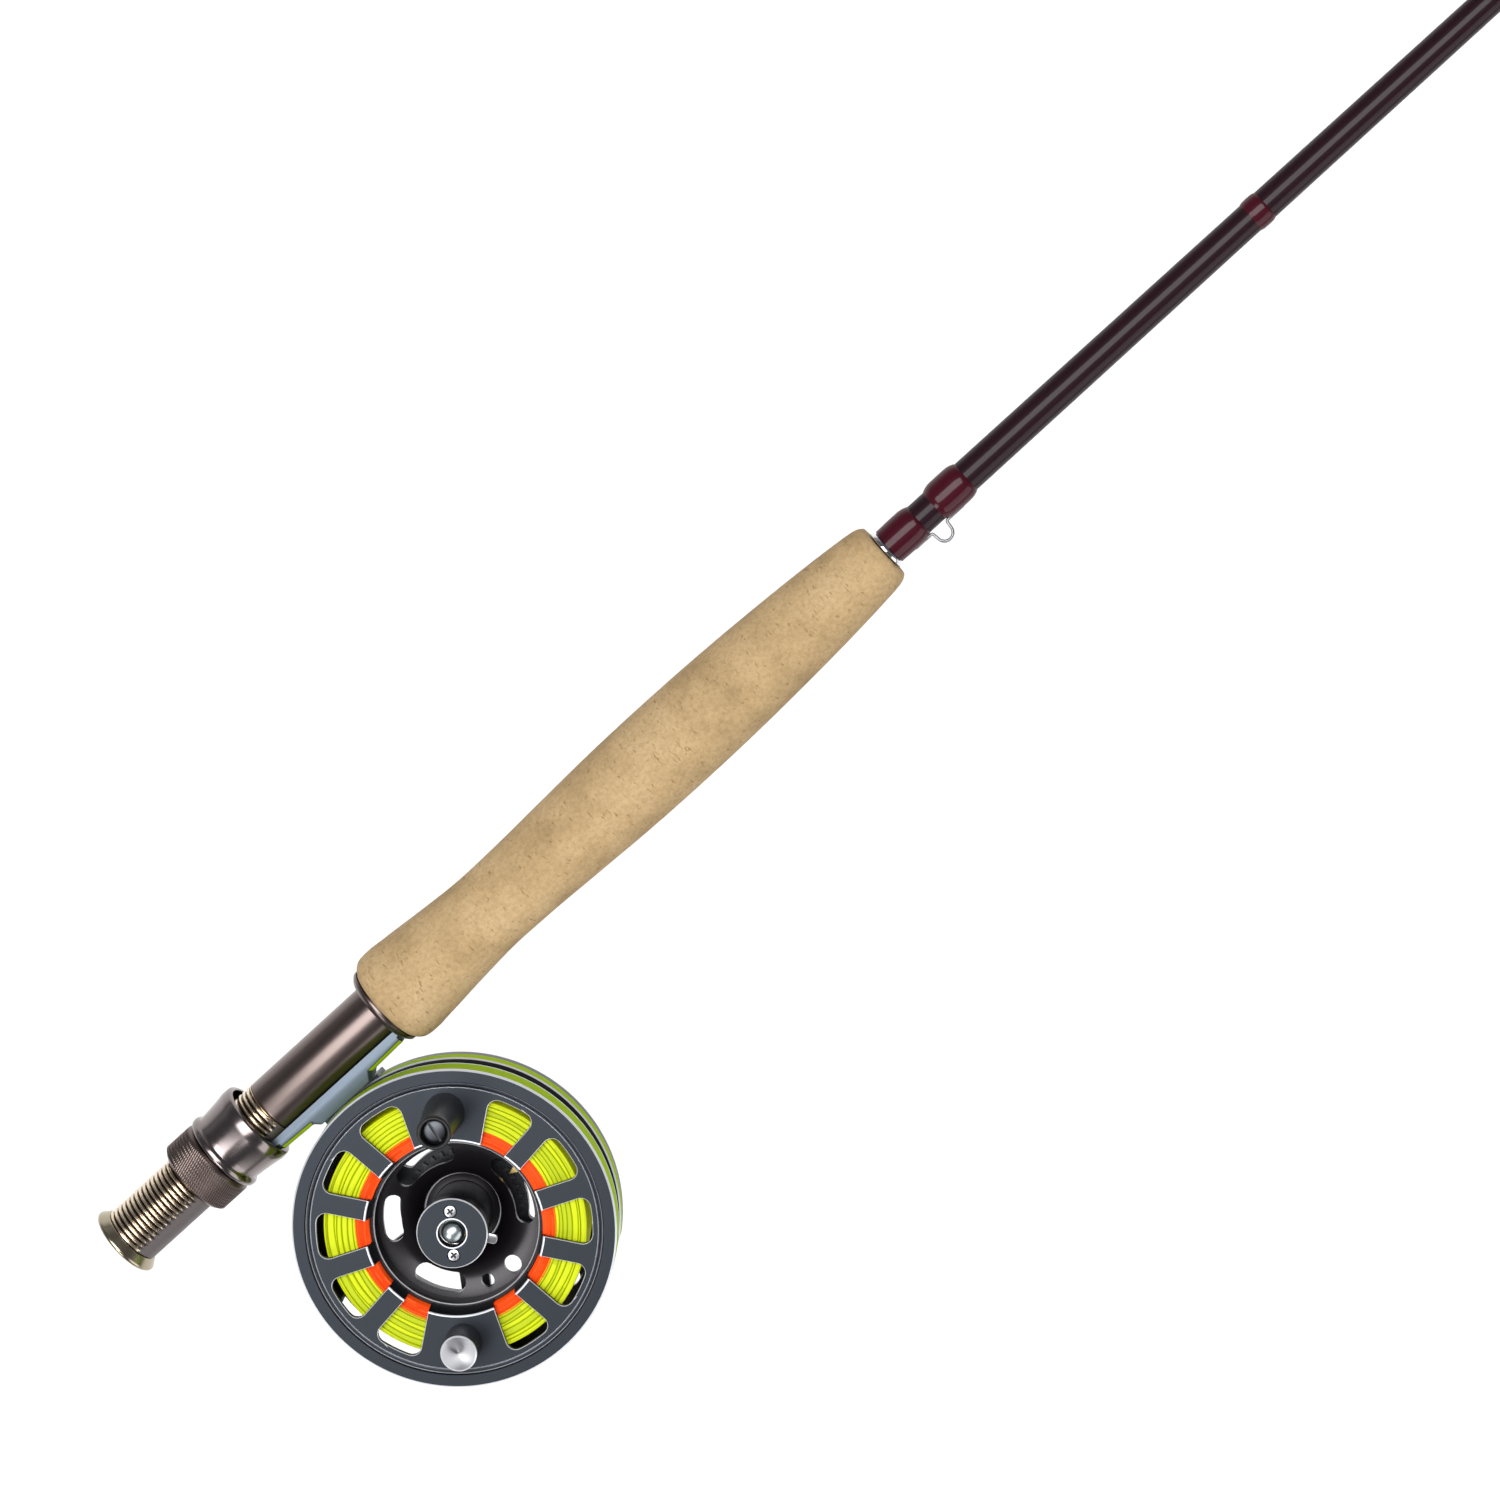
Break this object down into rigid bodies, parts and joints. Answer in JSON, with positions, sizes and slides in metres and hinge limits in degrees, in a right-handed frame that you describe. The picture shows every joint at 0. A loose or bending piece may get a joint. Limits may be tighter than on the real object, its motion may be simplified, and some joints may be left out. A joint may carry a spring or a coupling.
{
  "type": "fly rod and reel",
  "caption": "Fly rod with a cork grip and screw-locking seat, and a ported large-arbor reel loaded with line.",
  "frame": {"origin": "centre of the butt cap's end face, on the rod's axis", "axes": "+X along the rod towards its tip, +Z towards the reel's handle side along the spool's axis, -Y towards the reel and the line guides"},
  "size_m": [2.7435, 0.1131, 0.0627],
  "materials": {
    "bronze_seat": "bright anodised dark bronze",
    "cork": "raw sanded cork",
    "blank": "clear-coated graphite, very dark burgundy",
    "wrap": "thread under clear epoxy, burgundy",
    "steel": "polished stainless wire and turned parts",
    "gunmetal": "satin anodised gunmetal",
    "foot": "satin blue-grey",
    "black_alloy": "black anodised",
    "black_plastic": "moulded, satin black",
    "brass": "turned",
    "drag_cork": "composite cork friction disc",
    "fly_line": "PVC-coated floating line, fluorescent yellow",
    "backing": "braided polyester, orange"
  },
  "bodies": {
    "rod_butt": {"blank_section_1": "blank", "hook_keeper": "steel", "trim_band": "wrap", "winding_check": "steel", "cork_grip": "cork", "seat_barrel": "bronze_seat", "fixed_hood": "bronze_seat", "butt_cap": "bronze_seat", "reel_foot": "foot", "foot_screw_1": "steel", "foot_screw_2": "steel", "reel_frame": "gunmetal", "spindle": "steel", "spindle_clip": "steel", "clutch_bearing": "steel", "pawl_pin": "steel", "pawl_spring": "steel"},
    "hood": {"sliding_hood": "bronze_seat"},
    "locking_ring": {"lock_ring": "bronze_seat"},
    "section_2": {"blank_section_2": "blank", "ferrule_wrap_1": "wrap", "stripping_guide": "steel", "snake_guide_8": "steel"},
    "section_3": {"blank_section_3": "blank", "ferrule_wrap_2": "wrap", "snake_guide_7": "steel", "snake_guide_6": "steel", "snake_guide_5": "steel"},
    "section_4": {"blank_section_4": "blank", "ferrule_wrap_3": "wrap", "snake_guide_4": "steel", "snake_guide_3": "steel", "snake_guide_2": "steel", "snake_guide_1": "steel", "tip_top": "steel"},
    "drive": {"drive_hub": "black_alloy", "drag_disc": "drag_cork"},
    "spool": {"spool": "gunmetal", "spool_bearing": "brass", "hub_cap": "gunmetal", "cap_screw_1": "steel", "cap_screw_2": "steel", "handle_pin": "steel", "counterweight": "steel", "weight_stud": "steel", "backing": "backing", "fly_line": "fly_line"},
    "handle": {"handle_knob": "black_plastic"},
    "latch": {"latch_lever": "gunmetal", "latch_spring": "steel"},
    "drag_dial": {"drag_knob": "black_alloy"},
    "drag_plate": {"pressure_plate": "steel", "spring_washer": "steel"},
    "pawl": {"click_pawl": "brass"}
  },
  "joints": [
    {"name": "hood_slide", "type": "slide", "parent": "rod_butt", "child": "hood", "axis": [1, 0, 0], "range_m": [-0.018, 0]},
    {"name": "lock_ring_turn", "type": "hinge", "parent": "hood", "child": "locking_ring", "pos_m": [0.0315, 0, 0], "axis": [1, 0, 0], "range_deg": [-4321, 0]},
    {"name": "ferrule_2_pull", "type": "slide", "parent": "rod_butt", "child": "section_2", "axis": [1, 0, 0], "range_m": [0, 0.06]},
    {"name": "ferrule_3_pull", "type": "slide", "parent": "section_2", "child": "section_3", "axis": [1, 0, 0], "range_m": [0, 0.06]},
    {"name": "ferrule_4_pull", "type": "slide", "parent": "section_3", "child": "section_4", "axis": [1, 0, 0], "range_m": [0, 0.06]},
    {"name": "spool_spin", "type": "hinge", "parent": "rod_butt", "child": "drive", "pos_m": [0.073, -0.0558, 0], "axis": [0, 0, 1], "continuous": true},
    {"name": "spool_release", "type": "slide", "parent": "drive", "child": "spool", "axis": [0, 0, 1], "range_m": [0, 0.045]},
    {"name": "handle_spin", "type": "hinge", "parent": "spool", "child": "handle", "pos_m": [0.09267, -0.03107, 0.02], "axis": [0, 0, 1], "continuous": true},
    {"name": "latch_press", "type": "slide", "parent": "spool", "child": "latch", "axis": [-0.5736, 0.8192, 0], "range_m": [0, 0.001], "stiffness_N_per_m": 400},
    {"name": "drag_turn", "type": "hinge", "parent": "rod_butt", "child": "drag_dial", "pos_m": [0.073, -0.0558, -0.022], "axis": [0, 0, 1], "range_deg": [0, 330]},
    {"name": "drag_press", "type": "slide", "parent": "rod_butt", "child": "drag_plate", "axis": [0, 0, 1], "range_m": [0, 0.00062]},
    {"name": "pawl_rock", "type": "hinge", "parent": "rod_butt", "child": "pawl", "pos_m": [0.09342, -0.05759, -0.0098], "axis": [0, 0, 1], "range_deg": [-9, 9], "stiffness_Nm_per_rad": 0.002}
  ],
  "couplings": [
    {"joint": "lock_ring_turn", "follows": "hood_slide", "rad_per_m": 4188.8},
    {"joint": "drag_press", "follows": "drag_turn", "m_per_rad": 0.00010417}
  ]
}
